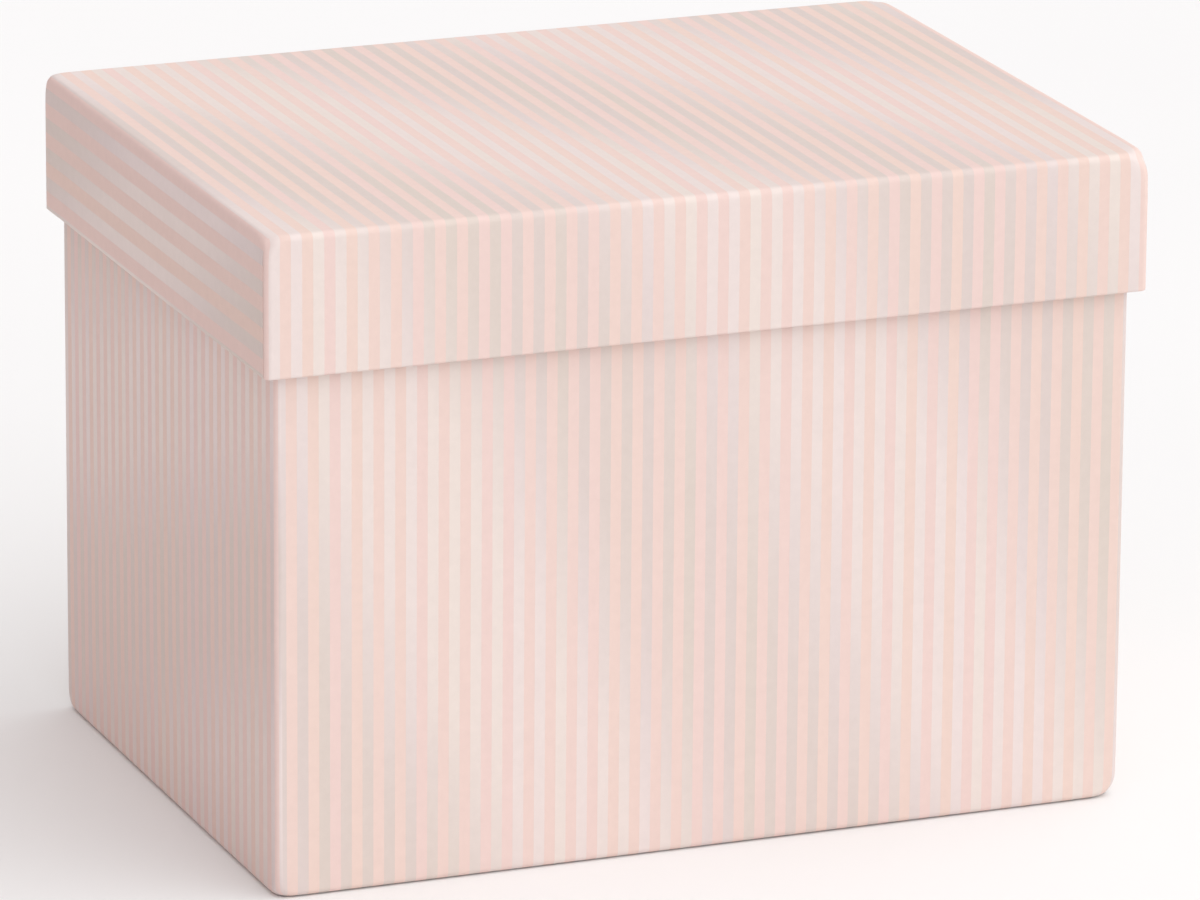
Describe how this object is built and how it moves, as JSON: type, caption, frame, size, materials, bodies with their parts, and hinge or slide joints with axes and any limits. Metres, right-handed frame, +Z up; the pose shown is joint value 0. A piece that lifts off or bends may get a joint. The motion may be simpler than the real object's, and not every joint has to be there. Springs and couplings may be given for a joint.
{
  "type": "storage box",
  "caption": "Rectangular rigid storage box with a lift-off lid, made of greyboard panels covered in striped paper and lined inside.",
  "frame": {"origin": "bottom centre of the closed box, on the surface it stands on", "axes": "+X along the front to the right, +Y to the back, +Z up"},
  "size_m": [0.2474, 0.1794, 0.18],
  "materials": {
    "striped_wrap": "matte pale pink with glossy pearl stripes",
    "greyboard": "matte",
    "stay_paper": "matte kraft",
    "lining_paper": "matte"
  },
  "bodies": {
    "base": {"base_underside_sheet": "lining_paper", "base_front_board": "greyboard", "base_right_board": "greyboard", "base_back_board": "greyboard", "base_left_board": "greyboard", "base_floor_board": "greyboard", "base_corner_stay_front_left": "stay_paper", "base_corner_stay_front_right": "stay_paper", "base_corner_stay_back_right": "stay_paper", "base_corner_stay_back_left": "stay_paper", "base_wall_liner": "lining_paper", "base_floor_liner": "lining_paper", "base_wrap": "striped_wrap"},
    "lid": {"lid_front_board": "greyboard", "lid_right_board": "greyboard", "lid_back_board": "greyboard", "lid_left_board": "greyboard", "lid_top_board": "greyboard", "lid_corner_stay_front_left": "stay_paper", "lid_corner_stay_front_right": "stay_paper", "lid_corner_stay_back_right": "stay_paper", "lid_corner_stay_back_left": "stay_paper", "lid_wall_liner": "lining_paper", "lid_top_liner": "lining_paper", "lid_wrap": "striped_wrap"}
  },
  "joints": [
    {"name": "lid_lift", "type": "slide", "parent": "base", "child": "lid", "axis": [0, 0, 1], "range_m": [0, 0.2]}
  ]
}
